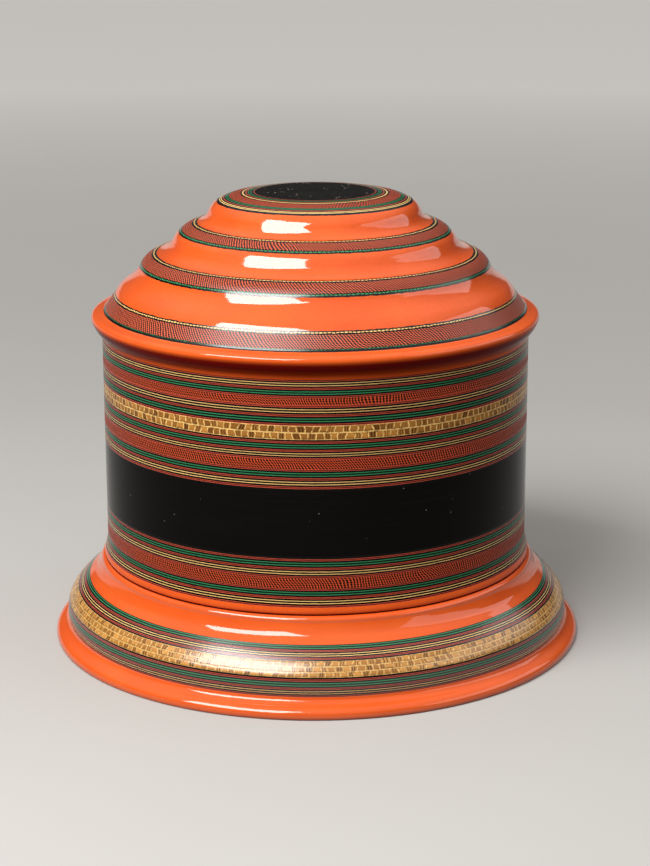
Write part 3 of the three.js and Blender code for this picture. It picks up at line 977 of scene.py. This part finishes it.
turned("crown_disc", "cover", [
    (inner, straight((0.0, DISC_FOOT), (DISC_RADIUS, DISC_FOOT))),
    (black, straight((DISC_RADIUS, DISC_FOOT), (DISC_RADIUS, DISC_BEVEL[1]), (DISC_BEVEL[0], DISC_TOP),
                     (0.0, DISC_TOP))),
])


# Studio
def plain_floor():
    """A wide pale floor with a hardly visible unevenness."""
    finish = Finish("pale_floor")
    shade = finish.span(finish.noise(160, detail=3.0), -0.8, 0.8)
    pale = finish.mix(finish.times(shade, 0.25), FLOOR, FLOOR_PALE)
    seen = finish.seen()
    finish.close(finish.mix(seen, FLOOR_BOUNCE, pale), 1.0, finish.noise(4, detail=2.0), 0.0)
    finish.shader.inputs["Emission Color"].default_value = FLOOR
    glow = finish.times(seen, finish.span(finish.radius, GLOW_START, GLOW_FULL, 0.0, FLOOR_GLOW))
    finish.feed(finish.shader.inputs["Emission Strength"], glow)
    mesh = bpy.data.meshes.new("floor")
    corners = [(-FLOOR_HALF, -FLOOR_HALF, 0), (FLOOR_HALF, -FLOOR_HALF, 0),
               (FLOOR_HALF, FLOOR_HALF, 0), (-FLOOR_HALF, FLOOR_HALF, 0)]
    mesh.from_pydata(corners, [], [(0, 1, 2, 3)])
    mesh.materials.append(finish.material)
    floor = bpy.data.objects.new("floor", mesh)
    bpy.context.collection.objects.link(floor)


def soft_box(name, azimuth, elevation, distance, width, height, power):
    """An area lamp that faces the object. Azimuth 0 is the camera's side, and turns to the right."""
    turn, rise = math.radians(azimuth), math.radians(elevation)
    outward = Vector((math.sin(turn) * math.cos(rise), -math.cos(turn) * math.cos(rise), math.sin(rise)))
    lamp = bpy.data.lights.new(name, "AREA")
    lamp.shape = "RECTANGLE"
    lamp.size = width
    lamp.size_y = height
    lamp.energy = power
    holder = bpy.data.objects.new(name, lamp)
    holder.location = LAMP_TARGET + outward * distance
    holder.rotation_euler = outward.to_track_quat("Z", "Y").to_euler()
    bpy.context.collection.objects.link(holder)


def soft_world(low, high):
    """A soft dome of light, brighter overhead. Near the horizon it shows the tone of the far floor."""
    world = bpy.data.worlds.new("studio")
    graph = Graph(world)
    place = graph.add("ShaderNodeTexCoord").outputs["Generated"]
    rise = graph.add("ShaderNodeSeparateXYZ", Vector=place).outputs[2]
    dome = graph.span(rise, SKY_START, SKY_FULL, low, high, smooth=True)
    haze = graph.times(graph.seen(), graph.span(rise, HAZE_FADE, HAZE_END, 1.0, 0.0, smooth=True))
    graph.feed(graph.nodes["Background"].inputs["Color"], graph.mix(haze, dome, HAZE))
    bpy.context.scene.world = world


def photo_camera():
    """The camera that was fitted to the rings in the picture."""
    tilt = Matrix.Rotation(math.pi / 2 - CAMERA_PITCH, 4, "X")
    turn = Matrix.Rotation(-CAMERA_YAW, 4, "Z") @ tilt @ Matrix.Rotation(CAMERA_ROLL, 4, "Z")
    data = bpy.data.cameras.new("camera")
    data.sensor_fit = "VERTICAL"
    data.sensor_height = SENSOR
    data.lens = FOCAL_PIXELS * SENSOR / IMAGE_HEIGHT
    camera = bpy.data.objects.new("camera", data)
    camera.matrix_world = Matrix.Translation(CAMERA_PLACE) @ turn
    bpy.context.collection.objects.link(camera)
    bpy.context.scene.camera = camera


plain_floor()
soft_box("key", azimuth=-39, elevation=46, distance=1.3, width=0.94, height=0.60, power=23)
soft_box("side", azimuth=84, elevation=27, distance=1.2, width=1.6, height=0.5, power=3.2)
soft_world(low=0.06, high=0.55)
photo_camera()
bpy.context.scene.view_settings.view_transform = "Standard"
